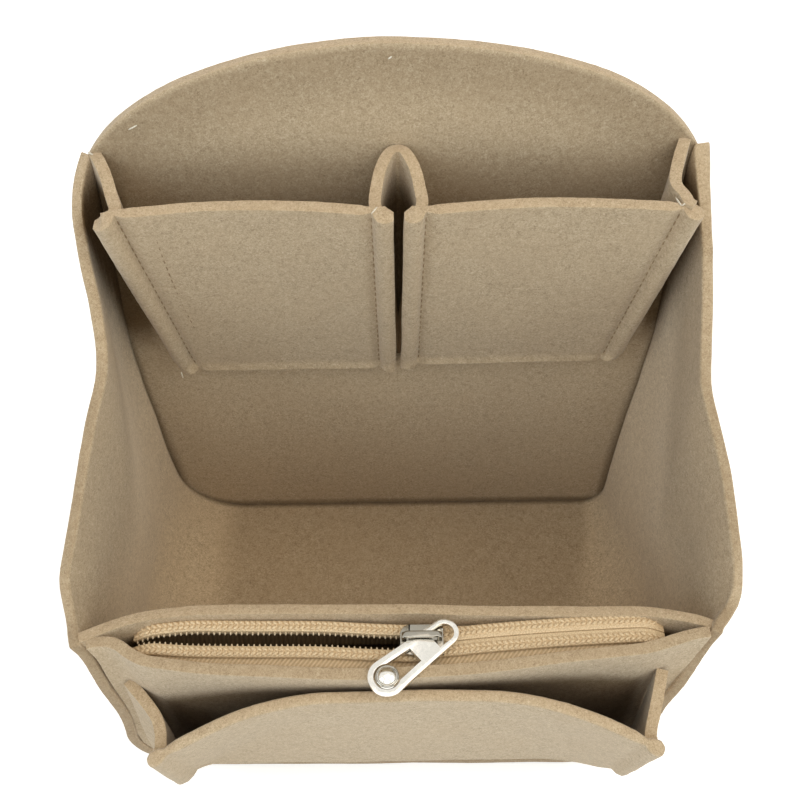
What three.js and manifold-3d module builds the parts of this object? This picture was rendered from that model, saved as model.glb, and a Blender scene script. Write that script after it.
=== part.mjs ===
// Felt purse organizer insert: a sewn felt body, two rear pockets, a zip pocket and a front pocket
// Millimetres. X to the right, Y to the back, Z up. The front opens towards -Y.
import * as THREE from 'three';
import { mergeVertices } from 'three/addons/utils/BufferGeometryUtils.js';
import Module from 'manifold-3d';

const wasm = await Module();
wasm.setup();

// Felt and seams
const felt = 3;
const seamGap = 0.3;

// Body
const panelWidth = 164;
const bodyDepth = 101;
const cornerRadius = 28;
const shoulderHeight = 152;
const domeRise = 35.4;
const domeFullness = 2.6;
const sideRise = 2;
const frontHeight = 78;

// Soft side walls: how far the mouth is pinched in and swells out, and where along its length
const pinchLeft = 5.4;
const pinchRight = 0.8;
const swellLeft = 4.5;
const swellRight = 6.3;
const lipSwell = 1.5;
const calmEnd = 0.2;
const pinchAt = 0.42;
const crossAt = 0.63;
const swellAt = 0.88;

// Zip pocket: how far its two layers stand apart at the mouth
const innerBow = 6.3;
const outerBow = 8.6;
const bowStart = 2;
const bowEnd = 17;
const bowFoot = 6;
const bowPower = 1.2;

// Rear pockets
const rearPocketHeight = 75;
const rearPocketRise = 3;
const rearPocketDepth = 20.6;
const rearPocketGap = 2;
const rearPocketTopInset = 8.5;
const rearPocketBottomInset = 12.5;
const rearPocketBow = 5;
const rearPocketEar = 9;
const rearGussetRise = 3;
const rearGussetInset = 5.8;
const rearGussetSpread = 6.7;
const rearGussetBow = 1.2;
const centerGussetWidth = 12.4;
const centerGussetLeast = 3.6;

// Front pocket
const frontPocketWidth = 132;
const frontPocketRise = 10;
const frontPocketDrop = 15;
const frontPocketSideBottom = 13;
const frontPocketLift = 1;
const frontPocketGap = 1;
const frontPocketDepth = 17.4;
const frontPocketFootDepth = 8;
const frontPocketFlat = 34;
const frontGussetInset = 3;
const frontGussetSpread = 9;
const frontGussetBow = 2;

// Zipper
const zipperLength = 130;
const zipperDrop = 2.5;
const zipperOpening = 3;
const openingTaper = 18;
const chainHeight = 1.8;
const chainShift = 1;
const coilWidth = 3.3;
const toothPitch = 1.5;
const toothWidth = 0.5;
const toothReach = 0.35;
const toothDepth = 1.1;
const tapeThickness = 0.8;
const tapeSeamLength = 9;

// Slider and pull
const sliderRest = 5.7;
const sliderLength = 11;
const sliderWidth = 8.4;
const sliderPlate = 1;
const sliderPostWidth = 1.1;
const sliderPostLength = 1.8;
const sliderClearance = 0.3;
const bailSpan = 9;
const bailThickness = 0.9;
const bailLeg = 1.2;
const bailWidth = 1.6;
const bailClearance = 0.6;
const pullThickness = 1;
const pullLength = 27.2;
const pullRim = 1.2;
const pullEyeRadius = 3.7;
const pullEndRadius = 4.8;
const pullEyeLength = 6;
const pullEyeReach = 5.2;
const pullBridge = 6;
const pullAngle = 39;
const studRadius = 3.1;
const studHeight = 2.2;

// Smoothness
const archSteps = 24;
const bendSteps = 16;
const cornerSteps = 12;
const flatSteps = 6;
const pocketSteps = 20;
const sideStations = 18;
const zipperSteps = 40;
const roundSteps = 10;
const studSteps = 24;

// Places worked out from the sizes
const halfWidth = panelWidth / 2;
const backFace = bodyDepth / 2;
const wallFace = backFace - felt;
const sideHeight = shoulderHeight + sideRise;
const frontFace = -bodyDepth / 2;
const outerLayer = frontFace + felt / 2;
const innerLayer = outerLayer + felt + seamGap;
const zipperHalf = zipperLength / 2;
const zipperZ = frontHeight - zipperDrop;
const tapeTop = zipperZ - chainHeight / 2 - seamGap / 2;
const chainY = (innerLayer + innerBow + outerLayer - outerBow) / 2 + chainShift;

// Materials
const beige = () => new THREE.MeshStandardMaterial({ color: 0xb59f82, roughness: 0.96, metalness: 0 });
const sand = () => new THREE.MeshStandardMaterial({ color: 0xc9ab80, roughness: 0.8, metalness: 0 });
const nickel = () => new THREE.MeshStandardMaterial({ color: 0xd9d9d6, roughness: 0.18, metalness: 1 });

const organizer = new THREE.Group();

function addPart(name, geometry, material, parent = organizer) {
  const mesh = new THREE.Mesh(geometry, material);
  mesh.name = name;
  parent.add(mesh);
  return mesh;
}

// Solids

function facingOut(geometry) {
  const p = geometry.attributes.position;
  const index = geometry.index.array;
  const corner = (i) => new THREE.Vector3().fromBufferAttribute(p, index[i]);
  let volume = 0;
  for (let i = 0; i < index.length; i += 3) {
    volume += corner(i).dot(corner(i + 1).cross(corner(i + 2)));
  }
  if (volume < 0) {
    geometry.setIndex([...index].reverse());
  }
  geometry.computeVertexNormals();
  return geometry;
}

// A closed sheet between two faces. place(row, column, side) gives each point, with side 1 or -1
function sheet(rows, columns, place) {
  const points = [];
  for (const side of [1, -1]) {
    for (let r = 0; r < rows; r += 1) {
      for (let c = 0; c < columns; c += 1) {
        points.push(...place(r, c, side).toArray());
      }
    }
  }
  const near = (r, c) => r * columns + c;
  const far = (r, c) => rows * columns + near(r, c);
  const triangles = [];
  const quad = (a, b, c, d) => triangles.push(a, b, c, a, c, d);
  for (let r = 0; r < rows - 1; r += 1) {
    for (let c = 0; c < columns - 1; c += 1) {
      quad(near(r, c), near(r, c + 1), near(r + 1, c + 1), near(r + 1, c));
      quad(far(r, c), far(r + 1, c), far(r + 1, c + 1), far(r, c + 1));
    }
    quad(near(r, 0), near(r + 1, 0), far(r + 1, 0), far(r, 0));
    quad(near(r + 1, columns - 1), near(r, columns - 1), far(r, columns - 1), far(r + 1, columns - 1));
  }
  for (let c = 0; c < columns - 1; c += 1) {
    quad(near(0, c + 1), near(0, c), far(0, c), far(0, c + 1));
    quad(near(rows - 1, c), near(rows - 1, c + 1), far(rows - 1, c + 1), far(rows - 1, c));
  }
  const geometry = new THREE.BufferGeometry();
  geometry.setAttribute('position', new THREE.Float32BufferAttribute(points, 3));
  geometry.setIndex(triangles);
  return facingOut(geometry);
}

function toManifold(geometry) {
  const bare = geometry.clone();
  bare.deleteAttribute('normal');
  bare.deleteAttribute('uv');
  const merged = mergeVertices(bare);
  const mesh = new wasm.Mesh({
    numProp: 3,
    vertProperties: new Float32Array(merged.attributes.position.array),
    triVerts: new Uint32Array(merged.index.array),
  });
  return new wasm.Manifold(mesh);
}

function joined(geometries) {
  const whole = geometries.map(toManifold).reduce((sum, next) => sum.add(next));
  const mesh = whole.getMesh();
  const geometry = new THREE.BufferGeometry();
  geometry.setAttribute('position', new THREE.Float32BufferAttribute(mesh.vertProperties, 3));
  geometry.setIndex([...mesh.triVerts]);
  geometry.computeVertexNormals();
  return geometry;
}

function thickened(shape, thickness) {
  const settings = { depth: thickness, bevelEnabled: false, curveSegments: roundSteps };
  return new THREE.ExtrudeGeometry(shape, settings);
}

// A flat shape drawn in X and Z, with its thickness towards -Y from the given place
function upright(shape, y, thickness) {
  const geometry = thickened(shape, thickness);
  geometry.rotateX(Math.PI / 2);
  geometry.translate(0, y, 0);
  return geometry;
}

// A flat shape drawn in X and Y, with its thickness upwards from the given height
function level(shape, z, thickness) {
  const geometry = thickened(shape, thickness);
  geometry.translate(0, 0, z);
  return geometry;
}

const mix = THREE.MathUtils.lerp;
const ease = THREE.MathUtils.smoothstep;
const steps = (count) => Array.from({ length: count + 1 }, (_, i) => i / count);

// Back panel: flat, with rounded bottom corners and a domed top

function domeHeight(x) {
  return shoulderHeight + domeRise * (1 - Math.abs(x / halfWidth) ** domeFullness);
}

function makeBackPanel() {
  const shape = new THREE.Shape();
  const cornerX = halfWidth - cornerRadius;
  shape.absarc(-cornerX, cornerRadius, cornerRadius, Math.PI, 1.5 * Math.PI);
  shape.absarc(cornerX, cornerRadius, cornerRadius, 1.5 * Math.PI, 2 * Math.PI);
  for (const t of steps(archSteps)) {
    const x = halfWidth * Math.cos(Math.PI * t);
    shape.lineTo(x, domeHeight(x));
  }
  addPart('back_panel', upright(shape, backFace, felt), beige());
}

// Side and base strip: one felt strip that runs down, across and up, with soft walls

const sideStart = wallFace - seamGap;
const sideEnd = innerLayer + felt / 2 + seamGap;

function sideWave(pinch, swell) {
  const points = [[0, 0], [calmEnd, 0], [pinchAt, -pinch], [crossAt, 0], [swellAt, swell], [1, lipSwell]];
  return new THREE.SplineCurve(points.map(([t, offset]) => new THREE.Vector2(t, offset)));
}

// The strip's path across X and Z: points with a direction towards the outside
function stripPath(top) {
  const cornerX = halfWidth - cornerRadius;
  const half = [];
  for (const t of steps(flatSteps).slice(0, -1)) {
    half.push({ x: halfWidth, z: mix(top, cornerRadius, t), nx: 1, nz: 0 });
  }
  for (const t of steps(cornerSteps)) {
    const a = t * Math.PI / 2;
    half.push({
      x: cornerX + cornerRadius * Math.cos(a),
      z: cornerRadius - cornerRadius * Math.sin(a),
      nx: Math.cos(a),
      nz: -Math.sin(a),
    });
  }
  const left = half.map((p) => ({ ...p, x: -p.x, nx: -p.nx }));
  return [...left, ...half.reverse()];
}

function makeSideStrip() {
  const waves = { left: sideWave(pinchLeft, swellLeft), right: sideWave(pinchRight, swellRight) };
  const stations = steps(sideStations).map((t) => {
    const along = waves.left.getPoint(t).x;
    const top = mix(sideHeight, frontHeight, along);
    const rise = (z) => Math.max(0, (z - cornerRadius) / (top - cornerRadius));
    return stripPath(top).map((p) => {
      const wave = (p.x < 0 ? waves.left : waves.right).getPoint(t).y;
      return { ...p, x: p.x + Math.sign(p.x) * wave * rise(p.z), y: mix(sideStart, sideEnd, along) };
    });
  });
  const place = (r, c, side) => {
    const p = stations[r][c];
    const inset = side > 0 ? 0 : felt;
    return new THREE.Vector3(p.x - p.nx * inset, p.y, p.z - p.nz * inset);
  };
  addPart('side_base_strip', sheet(stations.length, stations[0].length, place), beige());
}

// Zip pocket: two front layers, sewn together at the sides and standing apart at the mouth

function panelColumns() {
  const cornerX = halfWidth - cornerRadius;
  const right = steps(cornerSteps).map((t) => {
    const a = t * Math.PI / 2;
    return { x: cornerX + cornerRadius * Math.sin(a), low: cornerRadius - cornerRadius * Math.cos(a) };
  });
  const left = right.map((p) => ({ ...p, x: -p.x })).reverse();
  const flat = steps(flatSteps).slice(1, -1).map((t) => ({ x: mix(-cornerX, cornerX, t), low: 0 }));
  return [...left, ...flat, ...right];
}

function bowShare(x, z) {
  const height = Math.max(0, z - bowFoot) / (frontHeight - bowFoot);
  return ease(halfWidth - Math.abs(x), bowStart, bowEnd) * height ** bowPower;
}

const innerLayerY = (x, z) => innerLayer + innerBow * bowShare(x, z);
const outerLayerY = (x, z) => outerLayer - outerBow * bowShare(x, z);

function makeFrontLayer(name, layerY) {
  const columns = panelColumns();
  const rows = steps(flatSteps + 2);
  const place = (r, c, side) => {
    const { x, low } = columns[c];
    const z = mix(low, frontHeight, rows[r]);
    return new THREE.Vector3(x, layerY(x, z) + side * felt / 2, z);
  };
  addPart(name, sheet(rows.length, columns.length, place), beige());
}

// Rear pockets: leaning panels with gussets that close their sides

const rearPocketFoot = wallFace - seamGap - felt / 2;
const rearPocketTop = shoulderHeight + rearPocketRise;
const rearPocketBottom = rearPocketTop - rearPocketHeight;
const rearGussetTop = rearPocketTop + rearGussetRise;
const rearGussetRoot = halfWidth - rearGussetInset;
const rearGussetEnd = rearGussetRoot - rearGussetSpread;
const rearLean = Math.atan2(rearPocketDepth, rearPocketHeight);
const rearPanelY = (z) => rearPocketFoot - (z - rearPocketBottom) * Math.tan(rearLean);
const rearPanelBack = (z) => rearPanelY(z) + felt / 2 / Math.cos(rearLean) + seamGap;

function makeRearPocket(name, direction) {
  const rows = steps(flatSteps);
  const columns = steps(flatSteps + 2);
  const place = (r, c, side) => {
    const outer = halfWidth - mix(rearPocketBottomInset, rearPocketTopInset, rows[r]);
    const x = mix(rearPocketGap / 2, outer, columns[c]);
    const z = mix(rearPocketBottom, rearPocketTop, rows[r]);
    const fromEdge = Math.min(x - rearPocketGap / 2, outer - x);
    const bow = rearPocketBow * rows[r] * ease(fromEdge, rearPocketEar, outer / 2);
    const push = side * felt / 2;
    return new THREE.Vector3(
      direction * x,
      rearPanelY(z) + bow + push * Math.cos(rearLean),
      z + push * Math.sin(rearLean),
    );
  };
  addPart(name, sheet(rows.length, columns.length, place), beige());
}

function makeRearGusset(name, direction) {
  const lowest = rearPocketBottom + 2 * felt / Math.tan(rearLean);
  const rows = steps(flatSteps).map((t) => mix(lowest, rearGussetTop, t));
  const columns = steps(flatSteps);
  const place = (r, c, side) => {
    const z = rows[r];
    const t = columns[c];
    const share = (z - rearPocketBottom) / rearPocketHeight;
    const x = mix(rearGussetRoot, rearGussetEnd, t) - rearGussetBow * share * Math.sin(Math.PI * t);
    const y = mix(wallFace - seamGap, rearPanelBack(z), t);
    return new THREE.Vector3(direction * (x + side * felt / 2), y, z);
  };
  addPart(name, sheet(rows.length, columns.length, place), beige());
}

// Centre gusset: one strip bent round between the two pockets, its fold sewn to the wall
function makeCenterGusset() {
  const foldY = wallFace - seamGap - felt / 2;
  const depthAt = (z) => foldY - rearPanelBack(z);
  const fullDepth = depthAt(rearGussetTop);
  const halfSpan = (z) => (centerGussetWidth / 2) * depthAt(z) / fullDepth;
  const lowestDepth = fullDepth * centerGussetLeast / centerGussetWidth;
  const lowest = rearGussetTop - (fullDepth - lowestDepth) / Math.tan(rearLean);
  const rows = steps(flatSteps).map((t) => mix(lowest, rearGussetTop, t));
  const columns = steps(bendSteps).map((t) => (t - 0.5) * Math.PI);
  const place = (r, c, side) => {
    const z = rows[r];
    const a = columns[c];
    const width = halfSpan(z);
    const depth = depthAt(z);
    const outward = new THREE.Vector3(depth * Math.sin(a), width * Math.cos(a), 0).normalize();
    const mid = new THREE.Vector3(width * Math.sin(a), rearPanelBack(z) + depth * Math.cos(a), z);
    return mid.addScaledVector(outward, side * felt / 2);
  };
  addPart('rear_gusset_center', sheet(rows.length, columns.length, place), beige());
}

// Front pocket: a panel with an arched top that stands off at its sides

const frontPocketFoot = outerLayer - felt - seamGap;
const frontPocketSideTop = frontHeight - frontPocketDrop;
const frontGussetEnd = frontPocketWidth / 2 - frontGussetInset;
const frontGussetRoot = frontGussetEnd + frontGussetSpread;

const frontPocketSide = (x) => ease(Math.abs(x), frontPocketFlat / 2, frontPocketWidth / 2);

function frontPanelY(x, z) {
  const middle = outerLayerY(0, z) - felt - seamGap - frontPocketGap * z / frontHeight;
  const share = (z - frontPocketSideBottom) / (frontPocketSideTop - frontPocketSideBottom);
  const edge = frontPocketFoot - mix(frontPocketFootDepth, frontPocketDepth, share);
  return mix(middle, edge, frontPocketSide(x));
}

function frontPocketTop(x) {
  return frontPocketSideTop + frontPocketRise * (1 - (2 * x / frontPocketWidth) ** 2);
}

function frontPocketLow(x) {
  return mix(frontPocketLift, frontPocketSideBottom, frontPocketSide(x));
}

function makeFrontPocket() {
  const rows = steps(flatSteps + 1);
  const columns = steps(pocketSteps).map((t) => mix(-frontPocketWidth / 2, frontPocketWidth / 2, t));
  const place = (r, c, side) => {
    const x = columns[c];
    const z = mix(frontPocketLow(x), frontPocketTop(x), rows[r]);
    return new THREE.Vector3(x, frontPanelY(x, z) + side * felt / 2, z);
  };
  addPart('front_pocket_panel', sheet(rows.length, columns.length, place), beige());
}

function makeFrontGusset(name, direction) {
  const rows = steps(flatSteps).map((t) => mix(frontPocketSideBottom, frontPocketSideTop, t));
  const columns = steps(flatSteps);
  const place = (r, c, side) => {
    const z = rows[r];
    const t = columns[c];
    const bow = frontGussetBow * Math.sin(Math.PI * t);
    const x = mix(frontGussetRoot, frontGussetEnd, t) - bow + side * felt / 2;
    const rootY = outerLayerY(frontGussetRoot + side * felt / 2, z) - felt / 2 - seamGap;
    const endY = frontPanelY(frontGussetEnd + side * felt / 2, z) + felt / 2 + seamGap;
    return new THREE.Vector3(direction * x, mix(rootY, endY, t), z);
  };
  addPart(name, sheet(rows.length, columns.length, place), beige());
}

// Zipper: two tapes sewn to the front layers, two toothed coils, open to the left of the slider

const sliderNose = sliderRest - sliderLength / 2;
const postEnd = sliderNose + bailLeg + sliderPostLength;

function openHalf(x) {
  const start = ease(x, -zipperHalf, -zipperHalf + openingTaper);
  const end = ease(x, postEnd, sliderRest + sliderLength / 2);
  return (zipperOpening / 2) * start * (1 - end);
}

function makeTape(name, layerY, direction) {
  const columns = steps(zipperSteps).map((t) => mix(-zipperHalf, zipperHalf, t));
  const tapeLow = zipperZ - chainHeight - tapeSeamLength;
  const bend = tapeTop - tapeThickness;
  const middle = (tapeLow + bend) / 2;
  const place = (r, c, side) => {
    const x = columns[c];
    const out = side > 0 ? 0 : tapeThickness;
    const wallY = (z) => layerY(x, z) - direction * (felt / 2 + seamGap + out);
    const edge = chainY + direction * (openHalf(x) + toothDepth);
    const line = [
      [wallY(tapeLow), tapeLow],
      [wallY(middle), middle],
      [wallY(bend), tapeTop - out],
      [edge, tapeTop - out],
    ];
    return new THREE.Vector3(x, line[r][0], line[r][1]);
  };
  addPart(name, sheet(4, columns.length, place), sand());
}

function makeCoil(name, direction, phase) {
  const shape = new THREE.Shape();
  const at = (x, offset) => [x, chainY + direction * (openHalf(x) + offset)];
  const start = -zipperHalf + toothPitch;
  const count = Math.floor((zipperLength - 3 * toothPitch) / toothPitch);
  shape.moveTo(...at(-zipperHalf, toothDepth));
  for (let k = 0; k < count; k += 1) {
    const x = start + (k + phase) * toothPitch;
    shape.lineTo(...at(x - toothWidth / 2, toothDepth));
    shape.lineTo(...at(x - toothWidth / 2, -toothReach));
    shape.lineTo(...at(x + toothWidth / 2, -toothReach));
    shape.lineTo(...at(x + toothWidth / 2, toothDepth));
  }
  shape.lineTo(...at(zipperHalf, toothDepth));
  for (const t of steps(zipperSteps)) {
    shape.lineTo(...at(mix(zipperHalf, -zipperHalf, t), coilWidth));
  }
  addPart(name, level(shape, zipperZ - chainHeight / 2, chainHeight), sand());
}

// Slider: two plates joined by a post between the coils, with a bail on top

const plateLow = zipperZ + chainHeight / 2 + sliderClearance;
const plateTop = plateLow + sliderPlate;
const footTop = tapeTop - tapeThickness - sliderClearance;
const pullLow = frontHeight + seamGap;
const bailLow = pullLow + pullThickness + bailClearance;
const bailTop = bailLow + bailThickness;

function plateShape(length, width) {
  const shape = new THREE.Shape();
  const radius = width / 3;
  shape.absarc(-length / 2 + radius, -width / 2 + radius, radius, Math.PI, 1.5 * Math.PI);
  shape.lineTo(length / 2, -width / 2);
  shape.lineTo(length / 2, width / 2);
  shape.absarc(-length / 2 + radius, width / 2 - radius, radius, 0.5 * Math.PI, Math.PI);
  return shape;
}

function bailShape() {
  const shape = new THREE.Shape();
  const outer = (bailSpan + bailLeg) / 2;
  const inner = (bailSpan - bailLeg) / 2;
  const root = plateTop - sliderPlate / 2;
  const outline = [
    [-outer, root], [-inner, root], [-inner, bailLow], [inner, bailLow], [inner, root], [outer, root],
    [outer, bailLow], [inner, bailTop], [-inner, bailTop], [-outer, bailLow],
  ];
  shape.setFromPoints(outline.map(([x, z]) => new THREE.Vector2(x, z)));
  return shape;
}

function makeSlider() {
  const plate = plateShape(sliderLength, sliderWidth);
  const post = new THREE.BoxGeometry(sliderPostLength, sliderPostWidth, plateTop - footTop);
  const postX = -sliderLength / 2 + bailLeg + sliderPostLength / 2;
  post.translate(postX, 0, (plateTop + footTop - sliderPlate) / 2);
  const pieces = [
    level(plate, plateLow, sliderPlate),
    level(plate, footTop - sliderPlate, sliderPlate),
    post,
    upright(bailShape(), bailWidth / 2, bailWidth),
  ];
  const slider = addPart('zipper_slider', joined(pieces), nickel());
  slider.position.set(sliderRest, chainY, 0);
}

// Pull: a plate hooked round the bail's right leg, with a window and a round stud in its end

function pullShape() {
  const eye = pullEyeRadius - pullEyeReach;
  const end = pullLength - pullEyeReach - pullEndRadius;
  const lean = Math.asin((pullEndRadius - pullEyeRadius) / (end - eye));
  const shape = new THREE.Shape();
  shape.absarc(end, 0, pullEndRadius, -Math.PI / 2 - lean, Math.PI / 2 + lean);
  shape.absarc(eye, 0, pullEyeRadius, Math.PI / 2 + lean, 1.5 * Math.PI - lean);
  const eyeHole = new THREE.Path();
  const eyeHalf = pullEyeRadius - pullRim;
  const eyeEnd = pullRim + pullEyeLength - pullEyeReach;
  eyeHole.absarc(eye, 0, eyeHalf, Math.PI / 2, 1.5 * Math.PI);
  eyeHole.lineTo(eyeEnd, -eyeHalf);
  eyeHole.lineTo(eyeEnd, eyeHalf);
  const window = new THREE.Path();
  const windowStart = eyeEnd + pullBridge;
  const windowHalf = eyeHalf - pullRim / 4;
  window.absarc(end, 0, studRadius + seamGap, -0.7 * Math.PI, 0.7 * Math.PI);
  window.lineTo(windowStart, windowHalf);
  window.lineTo(windowStart, -windowHalf);
  shape.holes.push(eyeHole, window);
  return shape;
}

function makePull() {
  const hook = new THREE.Group();
  hook.position.set(sliderRest + bailSpan / 2, chainY, 0);
  hook.rotation.z = Math.PI + THREE.MathUtils.degToRad(pullAngle);
  organizer.add(hook);
  addPart('pull_tab', level(pullShape(), pullLow, pullThickness), nickel(), hook);
  const profile = [new THREE.Vector2(0, 0), new THREE.Vector2(studRadius, 0)];
  for (const t of steps(flatSteps)) {
    const a = t * Math.PI / 2;
    const rim = studHeight / 2;
    profile.push(new THREE.Vector2(studRadius * Math.cos(a), rim + (studHeight - rim) * Math.sin(a)));
  }
  profile[profile.length - 1].x = 0;
  const stud = new THREE.LatheGeometry(profile, studSteps);
  stud.rotateX(Math.PI / 2);
  stud.translate(pullLength - pullEyeReach - pullEndRadius, 0, pullLow);
  addPart('pull_stud', stud, nickel(), hook);
}

makeBackPanel();
makeSideStrip();
makeFrontLayer('front_inner_panel', innerLayerY);
makeFrontLayer('front_outer_panel', outerLayerY);
makeRearPocket('rear_pocket_panel_left', -1);
makeRearPocket('rear_pocket_panel_right', 1);
makeRearGusset('rear_gusset_left', -1);
makeRearGusset('rear_gusset_right', 1);
makeCenterGusset();
makeFrontPocket();
makeFrontGusset('front_gusset_left', -1);
makeFrontGusset('front_gusset_right', 1);
makeTape('zipper_tape_rear', innerLayerY, 1);
makeTape('zipper_tape_front', outerLayerY, -1);
makeCoil('zipper_coil_rear', 1, 0);
makeCoil('zipper_coil_front', -1, 0.5);
makeSlider();
makePull();

// The origin sits under the middle of the whole insert
const box = new THREE.Box3().setFromObject(organizer, true);
organizer.position.y = -(box.min.y + box.max.y) / 2;

export default organizer;
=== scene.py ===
import bpy
import math
from mathutils import Matrix, Vector, noise


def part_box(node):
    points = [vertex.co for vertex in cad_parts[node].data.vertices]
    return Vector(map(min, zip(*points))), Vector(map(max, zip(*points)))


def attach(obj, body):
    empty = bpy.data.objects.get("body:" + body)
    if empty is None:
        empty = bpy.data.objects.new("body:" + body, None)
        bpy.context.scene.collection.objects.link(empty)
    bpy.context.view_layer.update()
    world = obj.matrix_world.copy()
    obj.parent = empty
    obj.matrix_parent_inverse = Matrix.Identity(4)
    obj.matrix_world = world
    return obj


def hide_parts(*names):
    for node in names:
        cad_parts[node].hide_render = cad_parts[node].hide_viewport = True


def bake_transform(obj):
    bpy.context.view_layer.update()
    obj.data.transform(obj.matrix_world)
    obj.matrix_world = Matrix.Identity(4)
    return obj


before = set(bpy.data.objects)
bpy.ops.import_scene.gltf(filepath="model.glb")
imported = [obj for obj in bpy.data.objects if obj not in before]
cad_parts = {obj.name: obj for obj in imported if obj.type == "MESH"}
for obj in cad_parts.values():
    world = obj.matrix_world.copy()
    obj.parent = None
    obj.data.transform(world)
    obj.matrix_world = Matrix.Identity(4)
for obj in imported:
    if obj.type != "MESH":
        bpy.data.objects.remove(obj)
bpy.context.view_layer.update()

mm = 0.001
body = {
    "halfWidth": 82.0, "back": 50.5, "corner": 28.0, "shoulder": 152.0,
    "domeRise": 35.6, "frontHeight": 78.0, "frontLift": 3.5, "frontTilt": 2.2,
    "rearCorner": {-1: 26.0, 1: 12.0},
    "tuck": {-1: [(0, -0.6), (20, 2.4), (38, 4.1), (57, 2.8), (72, 2.6), (78, 1.6)],
             1: [(0, 9.4), (40, 8.0), (52, 5.8), (69, 2.2), (78, 0.2)]},
    "rearTuck": {
        -1: [(0, 3.0), (22, 3.0), (35, 1.8), (53, 0.5), (73, -1.0), (94, -1.6), (125, -0.6), (190, 0)],
        1: [(0, 4.6), (16, 4.6), (32, 3.9), (48, 3.0), (70, 1.0), (95, -0.5), (125, 0), (190, 0)],
    },
}
felt = {"thick": 3.0, "rounding": 0.8, "cutAngle": 50, "fuzz": 0.09, "fuzzSize": 1.5,
        "wobble": 0.22, "wobbleSize": 16.0, "seed": 7}
noise.seed_set(felt["seed"])  # the same fuzz each run
sides = ((-1, "left"), (1, "right"))
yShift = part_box("back_panel")[1].y / mm - body["back"]  # the pieces are drawn round the body's own middle
print("frame loaded")

# Camera at the photograph's angle
photoCamera = {"place": (-1.0, -164.15, 319.0), "tilt": 40.6, "yaw": -0.66, "roll": -0.27, "lens": 47.25,
               "sensor": 36, "near": 0.01}
bpy.ops.object.camera_add()
camera = bpy.context.active_object
turn = [Matrix.Rotation(math.radians(photoCamera[name]), 4, axis)
        for name, axis in (("yaw", "Z"), ("tilt", "X"), ("roll", "Z"))]
camera.matrix_world = Matrix.Translation(Vector(photoCamera["place"]) * mm) @ turn[0] @ turn[1] @ turn[2]
camera.data.lens = photoCamera["lens"]
camera.data.sensor_width = photoCamera["sensor"]
camera.data.clip_start = photoCamera["near"]
bpy.context.scene.camera = camera
print("camera placed")


# Small helpers
def mix(a, b, t):
    return a + (b - a) * t


def ease(x, low, high):
    t = min(max((x - low) / (high - low), 0), 1)
    return t * t * (3 - 2 * t)


def dip(x, centre, width):
    return math.exp(-((x - centre) / width) ** 2)


def sideOf(x):
    return -1 if x < 0 else 1


def between(a, b, slopeIn, slopeOut, s):  # a smooth step from a to b that keeps both slopes
    return (a * (2 * s ** 3 - 3 * s ** 2 + 1) + b * (3 * s ** 2 - 2 * s ** 3)
            + slopeIn * (s ** 3 - 2 * s ** 2 + s) + slopeOut * (s ** 3 - s ** 2))


def onCurve(points, t):  # a smooth line through the points, with t from 0 to 1 along it
    points = [Vector((x, y, 0)) for x, y in points]
    lengths = [(b - a).length for a, b in zip(points, points[1:])]
    left = t * sum(lengths)
    i = 0
    while i < len(lengths) - 1 and left > lengths[i]:
        left -= lengths[i]
        i += 1
    s = min(left / lengths[i], 1)
    a, b = points[i], points[i + 1]
    before = points[i - 1] if i else a - (b - a)
    after = points[i + 2] if i + 2 < len(points) else b + (b - a)
    return between(a, b, (b - before) / 2, (after - a) / 2, s)


def waveAt(points, t):  # a smooth height along t, through (t, height) pairs
    last = len(points) - 1
    i = max(k for k in range(last) if points[k][0] <= t)
    (t0, a), (t1, b) = points[i], points[i + 1]
    (tBefore, before), (tAfter, after) = points[max(i - 1, 0)], points[min(i + 2, last)]
    s = (t - t0) / (t1 - t0)
    slopeIn = (b - before) / (t1 - tBefore) * (t1 - t0)
    slopeOut = (after - a) / (tAfter - t0) * (t1 - t0)
    return between(a, b, slopeIn, slopeOut, s)


def linear(r, g, b):
    def one(c):
        c /= 255
        return c / 12.92 if c <= 0.04045 else ((c + 0.055) / 1.055) ** 2.4
    return one(r), one(g), one(b), 1


def grey(value):
    return value, value, value, 1


# Finishes
def nodeGroup(name, inputs, outputs):
    group = bpy.data.node_groups.new(name, "ShaderNodeTree")
    for label, kind, value in inputs:
        socket = group.interface.new_socket(name=label, in_out="INPUT", socket_type=kind)
        if value is not None:
            socket.default_value = value
    for label, kind in outputs:
        group.interface.new_socket(name=label, in_out="OUTPUT", socket_type=kind)
    return group, group.nodes.new("NodeGroupInput"), group.nodes.new("NodeGroupOutput")


def blank(name):
    finish = bpy.data.materials.new(name)
    finish.use_nodes = True
    return finish, finish.node_tree, finish.node_tree.nodes["Principled BSDF"]


def setInputs(node, values):
    for name, value in values.items():
        node.inputs[name].default_value = value


def noiseNode(tree, vector, scale, detail, rough, distortion=0.0):
    node = tree.nodes.new("ShaderNodeTexNoise")
    setInputs(node, {"Detail": detail, "Roughness": rough, "Distortion": distortion})
    tree.links.new(vector, node.inputs["Vector"])
    if isinstance(scale, (int, float)):
        node.inputs["Scale"].default_value = scale
    else:
        tree.links.new(scale, node.inputs["Scale"])
    return node.outputs["Fac"]


def mathNode(tree, operation, a, b):
    node = tree.nodes.new("ShaderNodeMath")
    node.operation = operation
    for socket, value in zip(node.inputs, (a, b)):
        if isinstance(value, (int, float)):
            socket.default_value = value
        else:
            tree.links.new(value, socket)
    return node.outputs[0]


def rampNode(tree, value, stops):
    node = tree.nodes.new("ShaderNodeValToRGB")
    tree.links.new(value, node.inputs["Fac"])
    while len(node.color_ramp.elements) < len(stops):
        node.color_ramp.elements.new(0.5)
    for element, (place, colour) in zip(node.color_ramp.elements, stops):
        element.position = place
        element.color = colour
    return node.outputs["Color"]


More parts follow.
